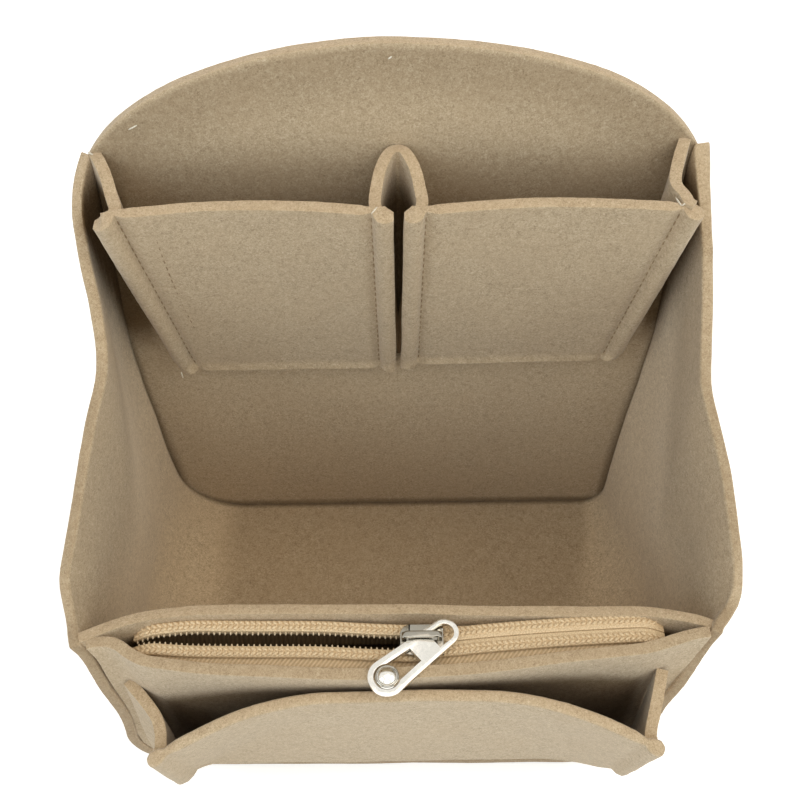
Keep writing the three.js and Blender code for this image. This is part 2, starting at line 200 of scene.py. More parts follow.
def mixColour(tree, share, a, b, kind="MIX"):
    node = tree.nodes.new("ShaderNodeMix")
    node.data_type = "RGBA"
    node.blend_type = kind
    for socket, value in ((node.inputs[0], share), (node.inputs[6], a), (node.inputs[7], b)):
        if isinstance(value, (int, float, tuple)):
            socket.default_value = value
        else:
            tree.links.new(value, socket)
    return node.outputs[2]


def objectPlace(tree):
    return tree.nodes.new("ShaderNodeTexCoord").outputs["Object"]


def bumpNode(tree, height, strength, distance):
    node = tree.nodes.new("ShaderNodeBump")
    setInputs(node, {"Strength": strength, "Distance": distance})
    tree.links.new(height, node.inputs["Height"])
    return node.outputs["Normal"]


# Felt grain: matted fibres, clumps and cloudy patches
feltGrain, grainIn, grainOut = nodeGroup(
    "feltGrain",
    [("Vector", "NodeSocketVector", None), ("Fibre", "NodeSocketFloat", 1900.0),
     ("Clump", "NodeSocketFloat", 520.0), ("Cloud", "NodeSocketFloat", 70.0)],
    [("Tone", "NodeSocketFloat"), ("Cloud", "NodeSocketFloat"), ("Height", "NodeSocketFloat")])
fibre = noiseNode(feltGrain, grainIn.outputs["Vector"], grainIn.outputs["Fibre"], 2.5, 0.65, 1.1)
clump = noiseNode(feltGrain, grainIn.outputs["Vector"], grainIn.outputs["Clump"], 2.0, 0.55, 0.4)
cloud = noiseNode(feltGrain, grainIn.outputs["Vector"], grainIn.outputs["Cloud"], 2.0, 0.5)
matted = mathNode(feltGrain, "ADD", mathNode(feltGrain, "MULTIPLY", fibre, 0.78),
                  mathNode(feltGrain, "MULTIPLY", clump, 0.22))
feltGrain.links.new(matted, grainOut.inputs["Tone"])
feltGrain.links.new(cloud, grainOut.inputs["Cloud"])
feltGrain.links.new(matted, grainOut.inputs["Height"])


def groupNode(tree, group):
    node = tree.nodes.new("ShaderNodeGroup")
    node.node_tree = group
    tree.links.new(objectPlace(tree), node.inputs["Vector"])
    return node


# Painted shade in folds, recesses and along rims, from the piece's own attribute; a value below zero paints
# light
fold = {"tint": (0.28, 0.23, 0.17, 1)}


def shadeValue(tree):
    node = tree.nodes.new("ShaderNodeAttribute")
    node.attribute_name = "shade"
    return node.outputs["Fac"]


foldShadePainted, darkIn, darkOut = nodeGroup("foldShadePainted", [("Color", "NodeSocketColor", None)],
                                      [("Color", "NodeSocketColor")])
paintedShadeMix = mixColour(foldShadePainted, shadeValue(foldShadePainted), darkIn.outputs["Color"], fold["tint"], "MULTIPLY")
paintedShadeMix.node.clamp_factor = False  # a painted shade below zero paints light
foldShadePainted.links.new(paintedShadeMix, darkOut.inputs["Color"])


# mixes the piece's painted shade into a colour
def withPaintedShade(tree, colour):
    node = tree.nodes.new("ShaderNodeGroup")
    node.node_tree = foldShadePainted
    tree.links.new(colour, node.inputs["Color"])
    return node.outputs["Color"]


feltLook = {"rough": 0.95, "specular": 0.15, "sheen": 0.25, "sheenRough": 0.6,
            "patches": 0.25, "relief": 0.55}


def feltFinish(name, dark, middle, light, warm, fibreSize, bump):
    finish, tree, shader = blank(name)
    grain = groupNode(tree, feltGrain)
    grain.inputs["Fibre"].default_value = fibreSize
    tone = rampNode(tree, grain.outputs["Tone"],
                    [(0.3, linear(*dark)), (0.5, linear(*middle)), (0.7, linear(*light))])
    patch = rampNode(tree, grain.outputs["Cloud"], [(0.35, grey(0)), (0.65, grey(1))])
    colour = mixColour(tree, mathNode(tree, "MULTIPLY", patch, feltLook["patches"]), tone, linear(*warm))
    # the felt's colour with the painted shade from the piece's attribute
    tree.links.new(withPaintedShade(tree, colour), shader.inputs["Base Color"])
    tree.links.new(bumpNode(tree, grain.outputs["Height"], feltLook["relief"], bump), shader.inputs["Normal"])
    setInputs(shader, {"Roughness": feltLook["rough"], "Specular IOR Level": feltLook["specular"],
                       "Sheen Roughness": feltLook["sheenRough"]})
    unshadedShare = mathNode(tree, "SUBTRACT", 1.0, shadeValue(tree))  # no sheen where shade is painted
    tree.links.new(mathNode(tree, "MULTIPLY", unshadedShare, feltLook["sheen"]), shader.inputs["Sheen Weight"])
    return finish


feltFace = feltFinish("feltFace", (142, 122, 95), (184, 164, 135), (212, 196, 170), (186, 164, 134),
                      1900.0, 0.0004)
feltEdge = feltFinish("feltEdge", (149, 126, 97), (191, 169, 138), (216, 198, 169), (194, 169, 137),
                      2300.0, 0.0005)
feltPair = [feltFace, feltEdge]

# Twist of a thread or a coil, from its shaded colour to its lit one
threadTwist, twistIn, twistOut = nodeGroup(
    "threadTwist",
    [("Vector", "NodeSocketVector", None), ("Shade", "NodeSocketColor", None),
     ("Light", "NodeSocketColor", None)],
    [("Color", "NodeSocketColor"), ("Normal", "NodeSocketVector")])
ply = noiseNode(threadTwist, twistIn.outputs["Vector"], 2600.0, 2.0, 0.6)
plyShare = rampNode(threadTwist, ply, [(0.3, grey(0)), (0.7, grey(1))])
plied = mixColour(threadTwist, plyShare, twistIn.outputs["Shade"], twistIn.outputs["Light"])
threadTwist.links.new(plied, twistOut.inputs["Color"])
threadTwist.links.new(bumpNode(threadTwist, ply, 0.5, 0.0001), twistOut.inputs["Normal"])


def threadFinish(name, light, shade, rough=0.7):
    finish, tree, shader = blank(name)
    twist = groupNode(tree, threadTwist)
    setInputs(twist, {"Shade": linear(*shade), "Light": linear(*light)})
    tree.links.new(twist.outputs["Color"], shader.inputs["Base Color"])
    tree.links.new(twist.outputs["Normal"], shader.inputs["Normal"])
    shader.inputs["Roughness"].default_value = rough
    return finish


# the seam thread is darker than the felt: the thread's own colour that also paints the shade in the seam's
# groove
seamThreadAndGrooveShade = threadFinish("seamThreadAndGrooveShade", (160, 137, 107), (128, 106, 79))
whiteThread = threadFinish("whiteThread", (240, 234, 220), (205, 196, 178))
coilNylon = threadFinish("coilNylon", (232, 211, 176), (190, 162, 124), 0.45)
toothNylon = threadFinish("toothNylon", (226, 210, 182), (176, 154, 122))
twill = {"angle": 35, "ribs": 330.0, "waver": 0.6, "dark": (198, 173, 136), "light": (222, 198, 162),
         "fluff": 900.0, "rough": 0.8, "relief": 0.6, "depth": 0.0002}


def tapeFinish():
    finish, tree, shader = blank("tapeTwill")
    place = objectPlace(tree)
    turnNode = tree.nodes.new("ShaderNodeMapping")
    turnNode.inputs["Rotation"].default_value = (0, 0, math.radians(twill["angle"]))
    tree.links.new(place, turnNode.inputs["Vector"])
    wave = tree.nodes.new("ShaderNodeTexWave")
    setInputs(wave, {"Scale": twill["ribs"], "Distortion": twill["waver"]})
    tree.links.new(turnNode.outputs["Vector"], wave.inputs["Vector"])
    ribs = wave.outputs["Fac"]
    colour = rampNode(tree, ribs, [(0.2, linear(*twill["dark"])), (0.8, linear(*twill["light"]))])
    fluff = noiseNode(tree, place, twill["fluff"], 2.0, 0.6)
    shade = rampNode(tree, fluff, [(0.3, grey(0.86)), (0.7, grey(1))])
    # painted shade from the tape's attribute on the twill's colour
    colour = withPaintedShade(tree, mixColour(tree, 1.0, colour, shade, "MULTIPLY"))
    tree.links.new(colour, shader.inputs["Base Color"])
    tree.links.new(bumpNode(tree, ribs, twill["relief"], twill["depth"]), shader.inputs["Normal"])
    shader.inputs["Roughness"].default_value = twill["rough"]
    return finish


# Handling marks on the nickel: duller and darker where it is rubbed
nickelScuff, scuffIn, scuffOut = nodeGroup(
    "nickelScuff",
    [("Vector", "NodeSocketVector", None), ("Color", "NodeSocketColor", None),
     ("Roughness", "NodeSocketFloat", 0.2)],
    [("Color", "NodeSocketColor"), ("Roughness", "NodeSocketFloat")])
rub = noiseNode(nickelScuff, scuffIn.outputs["Vector"], 420.0, 4.0, 0.65, 0.8)
worn = rampNode(nickelScuff, rub, [(0.3, grey(0.85)), (0.7, grey(1))])
rubbed = mixColour(nickelScuff, 1.0, scuffIn.outputs["Color"], worn, "MULTIPLY")
nickelScuff.links.new(rubbed, scuffOut.inputs["Color"])
dullShare = rampNode(nickelScuff, rub, [(0.35, grey(0.3)), (0.75, grey(0.95))])
dulled = mathNode(nickelScuff, "MULTIPLY", dullShare, 2.0)
nickelScuff.links.new(mathNode(nickelScuff, "MULTIPLY", dulled, scuffIn.outputs["Roughness"]),
                      scuffOut.inputs["Roughness"])


def nickelFinish(name, colour, rough):
    finish, tree, shader = blank(name)
    scuff = groupNode(tree, nickelScuff)
    setInputs(scuff, {"Color": linear(*colour), "Roughness": rough})
    tree.links.new(scuff.outputs["Color"], shader.inputs["Base Color"])
    tree.links.new(scuff.outputs["Roughness"], shader.inputs["Roughness"])
    shader.inputs["Metallic"].default_value = 1.0
    return finish


tapeTwill = tapeFinish()
# one nickel in two colours: the lighter copy paints bright reflections on the pull and the stud, the darker
# copy paints shade on the slider and the stud's ring
nickelPaintedLit = nickelFinish("nickelPaintedLit", (250, 249, 245), 0.16)
nickelPaintedShade = nickelFinish("nickelPaintedShade", (176, 172, 163), 0.16)
print("finishes made")


# Cloth pieces: a grid laid along the form, thickened, with rounded cut edges and a little fuzz
def deselect():
    bpy.ops.object.select_all(action="DESELECT")


def select(piece):
    deselect()
    piece.select_set(True)
    bpy.context.view_layer.objects.active = piece


def applied(piece, kind, **settings):
    select(piece)
    modifier = piece.modifiers.new("shape", kind)
    for name, value in settings.items():
        setattr(modifier, name, value)
    bpy.ops.object.modifier_apply(modifier="shape")


def named(piece, name):
    piece.name = name
    piece.data.name = name


def editAll():
    bpy.ops.object.mode_set(mode="EDIT")
    bpy.ops.mesh.select_all(action="SELECT")


def editDone():
    bpy.ops.object.mode_set(mode="OBJECT")


def faceOut(piece):
    select(piece)
    editAll()
    bpy.ops.mesh.normals_make_consistent(inside=False)
    editDone()


def clothSheet(name, across, up, place, finishes, thick=None, loft=None, rounding=None, fuzz=True):
    thick = thick or felt["thick"]
    rounding = felt["rounding"] if rounding is None else rounding
    deselect()
    bpy.ops.mesh.primitive_grid_add(x_subdivisions=across, y_subdivisions=up, size=2)
    piece = bpy.context.active_object
    named(piece, name)
    fullness = piece.vertex_groups.new(name="fullness")
    for v in piece.data.vertices:
        u, w = (v.co.x + 1) / 2, (v.co.y + 1) / 2
        x, y, z = place(u, w)
        v.co = Vector((x, y + yShift, z)) * mm
        fullness.add([v.index], loft(u, w) if loft else 1.0, "REPLACE")
    for finish in finishes:
        piece.data.materials.append(finish)
    applied(piece, "SOLIDIFY", thickness=thick * mm, offset=0, use_quality_normals=True,
            material_offset_rim=len(finishes) - 1, vertex_group="fullness")
    faceOut(piece)
    if rounding:
        applied(piece, "BEVEL", width=rounding * mm, segments=3, limit_method="ANGLE",
                angle_limit=math.radians(felt["cutAngle"]))
    if fuzz:
        for v in piece.data.vertices:
            fine = noise.noise_vector(v.co / (felt["fuzzSize"] * mm)) * felt["fuzz"]
            broad = noise.noise_vector(v.co / (felt["wobbleSize"] * mm)) * felt["wobble"]
            v.co += (fine + broad) * mm
    piece.vertex_groups.clear()
    select(piece)
    bpy.ops.object.shade_smooth()
    return piece


def facePoint(place, u, w, side, thick):  # a point on one face of a sheet, with that face's direction
    step = 0.004
    low, high = max(u - step, 0), min(u + step, 1)
    under, over = max(w - step, 0), min(w + step, 1)
    along = Vector(place(high, w)) - Vector(place(low, w))
    rise = Vector(place(u, over)) - Vector(place(u, under))
    out = along.cross(rise).normalized() * side
    return Vector(place(u, w)) + out * thick / 2, out


def shaded(piece, amount):  # writes the painted shade at each point, read by the felt's and the tape's colour; below zero it is painted light
    shade = piece.data.attributes.new("shade", "FLOAT", "POINT")
    for v in piece.data.vertices:
        x, y, z = v.co / mm
        shade.data[v.index].value = min(amount(x, y - yShift, z, v.normal), 1)


def facing(share):  # 1 for a face that looks this way
    return ease(share, 0, 0.5)


def finished(piece, rider, replaced=()):
    if rider:
        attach(piece, rider)
    if replaced:
        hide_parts(*replaced)
    return piece


def joined(pieces, name):
    select(pieces[0])
    for piece in pieces:
        piece.select_set(True)
    bpy.ops.object.join()
    whole = bpy.context.active_object
    named(whole, name)
    bpy.ops.object.transform_apply(location=True, rotation=True, scale=True)
    return whole


def copies(model, places):
    made = []
    for matrix in places:
        piece = model.copy()
        piece.data = model.data.copy()
        bpy.context.collection.objects.link(piece)
        piece.matrix_world = matrix
        made.append(piece)
    bpy.data.objects.remove(model)
    return made


def bead(name, size, finish):
    deselect()
    bpy.ops.mesh.primitive_uv_sphere_add(segments=8, ring_count=6, radius=0.5)
    piece = bpy.context.active_object
    piece.name = name
    editAll()
    bpy.ops.transform.resize(value=[s * mm for s in size])
    editDone()
    bpy.ops.object.shade_smooth()
    piece.data.materials.append(finish)
    return piece


def strand(a, b, thick):  # stretches a bead of one millimetre from a to b
    turn = (b - a).to_track_quat("X", "Z").to_matrix().to_4x4()
    return Matrix.Translation((a + b) / 2 * mm) @ turn @ Matrix.Diagonal(((b - a).length, thick, thick, 1))


def sewn(name, ends, thick, finish, rider):
    model = bead(name, (1, 1, 1), finish)
    return finished(joined(copies(model, [strand(a, b, thick) for a, b in ends]), name), rider)


stitch = {"length": 1.9, "gap": 0.9, "thick": 0.42, "sink": -0.1, "tail": 0.45}


def stitchLine(place, side, path, thick):  # path gives (u, w) for a share from 0 to 1 along the seam
    def spot(t):
        point, out = facePoint(place, *path(t), side, thick)
        return point - out * stitch["sink"] + Vector((0, yShift, 0))
    length = sum((spot(k / 20) - spot((k + 1) / 20)).length for k in range(20))
    count = int(length / (stitch["length"] + stitch["gap"]))
    share = stitch["length"] / (stitch["length"] + stitch["gap"])
    return [(spot(k / count), spot((k + share) / count)) for k in range(count)]


def lobe(form, d):  # half the thickness of a folded seam, d from its edge
    middle = form["seam"] / 2
    if d < middle:
        return mix(form["tip"], form["lobe"] / 2, math.sin(d / middle * math.pi / 2))
    if d < form["seam"]:
        return mix(form["lobe"] / 2, form["pinch"], ease(d, middle, form["seam"]))
    return mix(form["pinch"], felt["thick"] / 2, ease(d, form["seam"], form["seam"] + form["run"]))


# Outline of the back wall and the front layers
def lowEdge(x):
    corner = body["rearCorner"][sideOf(x)]
    past = max(abs(x) - (body["halfWidth"] - corner), 0)
    return corner - math.sqrt(max(corner ** 2 - past ** 2, 0))


def frontLift(x):
    return body["frontLift"] - body["frontTilt"] * x / body["halfWidth"]


def frontTuck(side, z):  # how far the front seam is drawn in on each side
    return waveAt(body["tuck"][side], min(z, body["frontHeight"]))


def rearTuck(side, z):  # the same for the seam of the back wall
    return waveAt(body["rearTuck"][side], z)


# Back wall
backWall = {"across": 100, "up": 96, "arch": {-1: (0.7, 0.3, 0.0), 1: (0.6, 0.35, 0.12)}, "tuckPower": 4,
            "shoulderCut": {-1: 1.8, 1: 0.0}, "cutRun": 9.0}


def domeTop(x):
    t = abs(x) / body["halfWidth"]
    broad, sharp, corner = backWall["arch"][sideOf(x)]
    return body["shoulder"] + body["domeRise"] * (1 - broad * t ** 2 - sharp * t ** 6 - corner * t ** 20)


def backPlace(u, w):
    x = mix(-body["halfWidth"], body["halfWidth"], u)
    t = abs(x) / body["halfWidth"]
    side = sideOf(x)
    z = mix(lowEdge(x), domeTop(x), w)
    drawn = rearTuck(side, z) + backWall["shoulderCut"][side] * dip(z, body["shoulder"], backWall["cutRun"])
    return x - side * drawn * t ** backWall["tuckPower"], body["back"] - felt["thick"] / 2, z


wall = clothSheet("feltBackWall", backWall["across"], backWall["up"], backPlace, feltPair)
finished(wall, "body", ["back_panel"])
print("back wall made")

# Side and base strip
strip = {
    "across": 150, "up": 50, "start": 47.7, "end": -50.2, "run": 91.6, "rearTop": 154.0, "frontTop": 78.0,
    "thick": 5.2, "wallRows": 0.3, "cornerRows": 0.1,
    "wave": {  # how far the rim leans out, from the back wall to the front
        -1: [(0, -3.2), (0.03, -1.6), (0.07, -0.4), (0.11, -0.1), (0.2, -1.4), (0.3, -3.9), (0.43, -5.4),
             (0.56, -2.2), (0.7, 0.9), (0.8, 3.0), (0.88, 4.8), (0.94, 5.1), (0.98, 5.0), (1.02, 4.0),
             (1.08, 2.0)],
        1: [(0, -3.1), (0.06, -1.8), (0.12, -0.5), (0.2, 0.3), (0.42, -0.6), (0.49, -0.7), (0.556, 0.8),
            (0.685, 4.1), (0.81, 5.9), (0.88, 6.9), (0.94, 6.6), (0.98, 4.0), (1.02, 1.0), (1.08, 0)],
    },
    "frontPull": {-1: 2.2, 1: 3.4}, "pullFrom": 52.0, "rearLength": 0.16, "rearRise": {-1: 4.0, 1: 5.0},
    "rearCurl": {-1: 0.4, 1: 1.4}, "curlHeight": 15.0, "rearSwell": {-1: 0.1, 1: 0.73}, "swellShare": 0.09,
    "seamRows": 0.08, "seamRun": 3.6, "seamPinch": 0.45, "pinchShare": 0.7,
}


def stripPath(u, top, corner):  # x and z from the left lip round to the right lip
    radius = corner - felt["thick"] / 2
    inset = body["halfWidth"] - corner
    side = sideOf(u - 0.5)
    v = min(u, 1 - u)
    straight, bent = strip["wallRows"], strip["cornerRows"]
    if v < straight:
        return side * (inset + radius), mix(top, corner, v / straight)
    if v < straight + bent:
        a = (v - straight) / bent * math.pi / 2
        return side * (inset + radius * math.cos(a)), corner - radius * math.sin(a)
    return side * inset * (0.5 - v) / (0.5 - straight - bent), corner - radius


def stripDepth(w):  # distance from the back wall, with close rows along the seam
    if w < strip["seamRows"]:
        return strip["seamRun"] * w / strip["seamRows"]
    share = (w - strip["seamRows"]) / (1 - strip["seamRows"])
    return mix(strip["seamRun"], strip["start"] - strip["end"], share)


def stripPlace(u, w):
    depth = stripDepth(w)
    t = depth / strip["run"]  # 1 where the front layers begin
    top = mix(strip["rearTop"], strip["frontTop"], min(t, 1))
    side = sideOf(u - 0.5)
    rear = max(0, 1 - t / strip["rearLength"])
    top += strip["rearRise"][side] * rear ** 2
    x, z = stripPath(u, top, mix(body["rearCorner"][side], body["corner"], ease(t, 0, 0.6)))
    rise = max(0, (z - body["corner"]) / (top - body["corner"]))
    pulled = strip["frontPull"][side] * ease(t, 0.84, 1.06) * ease(z, strip["pullFrom"], body["frontHeight"])
    wave = waveAt(strip["wave"][side], t - pulled / strip["run"]) * rise ** mix(1, 2.2, ease(t, 0.63, 0.88))
    curl = strip["rearCurl"][side] * rear * max(0, 1 - (top - z) / strip["curlHeight"]) ** 2
    lift = frontLift(x) * ease(t, 0.84, 1) * max(0, 1 - z / body["corner"])
    drawn = frontTuck(side, z) * ease(t, 0.88, 1) + rearTuck(side, z) * (1 - ease(t, 0, 0.5))
    out = side * (wave + curl - drawn * (x / body["halfWidth"]) ** 2)
    return x + out, strip["start"] - depth + pulled, z + lift


def stripLoft(u, w):
    depth = stripDepth(w)
    rear = max(0, 1 - depth / strip["run"] / strip["rearLength"])
    v = 1 - abs(2 * u - 1)
    swell = strip["rearSwell"][sideOf(u - 0.5)] * rear * max(0, 1 - v / strip["swellShare"])
    seam = 1 - ease(depth, 0, strip["seamRun"] * strip["pinchShare"])
    pinch = strip["seamPinch"] * seam * ease(v, 0, strip["swellShare"])
    return (1 + swell - pinch) * felt["thick"] / strip["thick"]


sideStrip = clothSheet("feltSideStrip", strip["across"], strip["up"], stripPlace, feltPair,
                       thick=strip["thick"], loft=stripLoft)
finished(sideStrip, "body", ["side_base_strip"])
print("side strip made")

# Zip pocket: two front layers
zipPocket = {
    "across": 100, "up": 44, "inner": -45.2, "outer": -48.3, "bowFoot": 6.0, "bowPower": 1.2,
    "half": 78.9, "innerHalf": 81.8, "corner": 24.9, "low": 3.1, "innerDrop": 1.2, "flare": {-1: 2.4, 1: 0.4},
    "dropRun": 30.0, "tuckPower": 2, "flarePowers": (8, 4),
    "innerRim": [(-82, -46.2), (-79.5, -45.2), (-76.5, -43.6), (-69.2, -40.8), (-61.8, -39.2), (-51, -38.5),
                 (0, -39.0), (45.6, -39.5), (64.9, -40.1), (71.2, -41.1), (77.3, -42.7), (80.8, -44.3),
                 (82.1, -45.0)],
    "outerRim": [(-82, -48.6), (-79, -47.6), (-76.2, -46.9), (-72.1, -47.6), (-68.9, -50.0), (-64.6, -52.3),
                 (-57.8, -53.5), (-49.5, -54.6), (-32.1, -55.9), (-17.2, -56.7), (0, -56.9), (24.8, -55.2),
                 (39.9, -53.3), (55.1, -51.8), (62, -51.0), (66.7, -49.8), (72.7, -47.9), (77.7, -46.9),
                 (79.6, -47.0), (82.1, -47.6)],
}


def leanShare(z):  # the layers part upwards from their bottom seam
    height = max(0, z - zipPocket["bowFoot"]) / (body["frontHeight"] - zipPocket["bowFoot"])
    return height ** zipPocket["bowPower"]


def innerY(x, z):
    return mix(zipPocket["inner"], waveAt(zipPocket["innerRim"], x), leanShare(z))


def outerY(x, z):
    return mix(zipPocket["outer"], waveAt(zipPocket["outerRim"], x), leanShare(z))


def layerPoint(u, w, drop=0.0):
    x = mix(-zipPocket["half"], zipPocket["half"], u)
    past = max(abs(x) - (zipPocket["half"] - zipPocket["corner"]), 0)
    low = zipPocket["low"] + zipPocket["corner"] - math.sqrt(max(zipPocket["corner"] ** 2 - past ** 2, 0))
    low += frontLift(x) * max(0, 1 - low / body["corner"])
    return x, mix(low, body["frontHeight"] - drop * ease(x, 0, zipPocket["dropRun"]), w)


def drawnIn(x, z):
    side = sideOf(x)
    share = x / body["halfWidth"]
    acrossPower, upPower = zipPocket["flarePowers"]
    flare = zipPocket["flare"][side] * share ** acrossPower * (z / body["frontHeight"]) ** upPower
    return x + side * (flare - frontTuck(side, z) * share ** zipPocket["tuckPower"])


def innerPlace(u, w):
    x, z = layerPoint(u, w, zipPocket["innerDrop"])
    x *= zipPocket["innerHalf"] / zipPocket["half"]
    return drawnIn(x, z), innerY(x, z), z


def outerPlace(u, w):
    x, z = layerPoint(u, w)
    return drawnIn(x, z), outerY(x, z), z


zipInner = clothSheet("feltZipInner", zipPocket["across"], zipPocket["up"], innerPlace, feltPair)
finished(zipInner, "body", ["front_inner_panel"])
zipOuter = clothSheet("feltZipOuter", zipPocket["across"], zipPocket["up"], outerPlace, feltPair)
finished(zipOuter, "body", ["front_outer_panel"])
print("zip pocket made")

# Rear pockets
rearPocket = {
    "across": 96, "up": 40, "bottom": 80.0, "top": 155.0, "back": body["back"] - felt["thick"], "foot": 45.7,
    "depth": 19.4, "gapLow": 1.4, "gapTop": 2.6, "shift": 1.2, "topEdge": 74.6, "bottomEdge": 67.6,
    "bow": {-1: 3.2, 1: 3.0}, "bowPower": 1.3, "rise": {-1: (0, 0), 1: (1.4, 3.0)},
    "seam": 5.3, "lobe": 5.2, "tip": 1.2, "pinch": 0.9, "run": 3.2, "push": 0.5, "groove": 1.3,
    "earOut": {-1: 1.4, 1: 0.6}, "earDrop": {-1: 2.6, 1: 1.2}, "earRoll": 0.76, "earFoot": 0.4,
    "rounding": 0.88, "lip": 1.3, "lipHeight": 0.05, "cornerDrop": {"centre": 1.2, -1: 0.8, 1: -0.6},
    "cornerRound": 1.6, "cornerHeight": 0.06, "cornerFrom": 0.8, "seamEnds": (0.03, 0.985),
}
rearLean = math.atan2(rearPocket["depth"], rearPocket["top"] - rearPocket["bottom"])


def rearY(z):
    return rearPocket["foot"] - (z - rearPocket["bottom"]) * math.tan(rearLean)


def rearEdge(w):
    return mix(rearPocket["bottomEdge"], rearPocket["topEdge"], w)


def rearGap(w):
    return mix(rearPocket["gapLow"], rearPocket["gapTop"], w) / 2


def rearFromEdge(u, w):
    return min(u, 1 - u) * (rearEdge(w) - rearGap(w))


def earShare(u, w):  # 0 at the stitch line, 1 at the side edge
    return ease(rearPocket["seam"] - rearFromEdge(u, w), 0, rearPocket["seam"])


def rearPlaceFor(side):
    def place(u, w):
        ear = earShare(u, w)
        edge = side if u > 0.5 else 1
        foot = max(0, 1 - w / rearPocket["cornerHeight"]) ** 2
        rounded = rearPocket["cornerRound"] * foot * ease(u, rearPocket["cornerFrom"], 1)
        x = mix(rearGap(w), rearEdge(w), u) - rounded
        corner = rearPocket["cornerDrop"][side if u > 0.5 else "centre"]
        low = rearPocket["bottom"] + mix(*rearPocket["rise"][side], u) - corner * ear * foot
        z = mix(low, rearPocket["top"], w) - rearPocket["earDrop"][edge] * ear * w
        bow = rearPocket["bow"][side] * w * (1 - (2 * u - 1) ** 2) ** rearPocket["bowPower"]
        push = rearPocket["push"] * dip(rearFromEdge(u, w), rearPocket["seam"], rearPocket["groove"])
        roll = rearPocket["earOut"][edge] * math.sin(ear * rearPocket["earRoll"] * math.pi)
        roll *= mix(rearPocket["earFoot"], 1, w)
        lip = rearPocket["lip"] * max(0, 1 - w / rearPocket["lipHeight"]) ** 2
        return side * x + rearPocket["shift"], rearY(z) + bow + push - roll - lip, z
    return place


def rearLoft(u, w):
    return 2 * lobe(rearPocket, rearFromEdge(u, w)) / rearPocket["lobe"]


rearGusset = {
    "across": 24, "up": 24, "low": 86.0, "top": {-1: 158.0, 1: 160.4}, "root": {-1: 76.8, 1: 72.8},
    "waist": {-1: 71.4, 1: 68.8}, "bend": {-1: 4.8, 1: 4.4}, "drop": 3.8, "endDrop": 0.6,
    "rootFrom": (0.1, 0.75),
}
pleat = {"room": 16.0, "turn": (2.6, 1.6), "fold": 1.9, "end": 0.9, "shares": (0.3, 0.6)}


def upPocket(z):
    return (z - rearPocket["bottom"]) / (rearPocket["top"] - rearPocket["bottom"])


def pleatRoom(top, z):  # 1 where the pocket stands fully open
    return min((top - rearY(min(z, rearPocket["top"]))) / pleat["room"], 1)


def pleatLine(top, z):  # the depths at which a gusset folds, from the wall to the pocket
    front = rearY(min(z, rearPocket["top"]))
    turned, spare = pleat["turn"]
    near, far = (mix(top, front, share) for share in pleat["shares"])
    return near, far, front + turned + spare * pleatRoom(top, z), front + pleat["fold"], front + pleat["end"]


def rearGussetFor(side):
    def place(u, w):
        z = mix(rearGusset["low"], rearGusset["top"][side], w)
        share = upPocket(z)
        edge = rearEdge(min(share, 1))
        top = rearPocket["back"]
        near, far, turned, folded, end = pleatLine(top, z)
        waist = edge - rearPocket["topEdge"] + rearGusset["waist"][side]
        root = mix(edge + 1, rearGusset["root"][side], ease(share, *rearGusset["rootFrom"]))
        bend = edge - rearGusset["bend"][side]
        point = onCurve([(root, top), (mix(root, waist, 0.6), near), (waist, far), (bend, turned),
                         (bend + 0.8, folded), (bend + 2.0, end)], u)
        drop = rearGusset["drop"] * ease(u, 0, 0.75) + rearGusset["endDrop"] * ease(u, 0.75, 1)
        return side * point.x + rearPocket["shift"], point.y, z - drop * share
    return place


def gussetLoft(low, top):  # thinner where the pocket closes on the wall
    def loft(u, w):
        room = rearPocket["back"] - rearY(min(mix(low, top, w), rearPocket["top"]))
        return min(max((room - 1.4) / 3.2, 0.25), 1)
    return loft


centreGusset = {"across": 28, "up": 24, "low": 86.0, "top": 159.4, "half": 5.6, "drop": 4.6, "endDrop": 0.6}


def centreGussetFor(side):
    def place(u, w):
        z = mix(centreGusset["low"], centreGusset["top"], w)
        share = upPocket(z)
        top = rearPocket["back"] - felt["thick"] / 2
        near, far, turned, folded, end = pleatLine(top, z)
        half = centreGusset["half"] * min(share + 0.1, 1)
        point = onCurve([(-0.7, top), (1.6 * pleatRoom(top, z), top - 0.8), (half * 0.76, near), (half, far),
                         (half + 0.3, turned), (half - 0.4, folded), (half - 1.8, end)], u)
        drop = centreGusset["drop"] * ease(u, 0.1, 0.8) + centreGusset["endDrop"] * ease(u, 0.75, 1)
        return side * point.x + rearPocket["shift"], point.y, z - drop * share
    return place


# heights in mm over which the painted shade on the gussets fades out at their tops
pocketShade = {"gusset": (156, 146), "tent": (156, 144)}
crease = {"top": (0.815, 0.985), "low": (0.84, 0.3), "bend": 0.012, "press": 0.4}


def needleHoleShadePath(t):  # an old needle line on the left pocket, drawn as dark beads that paint the shade in its holes
    (topU, topW), (lowU, lowW) = crease["top"], crease["low"]
    return mix(topU, lowU, t) + crease["bend"] * math.sin(t * math.pi), mix(topW, lowW, t)


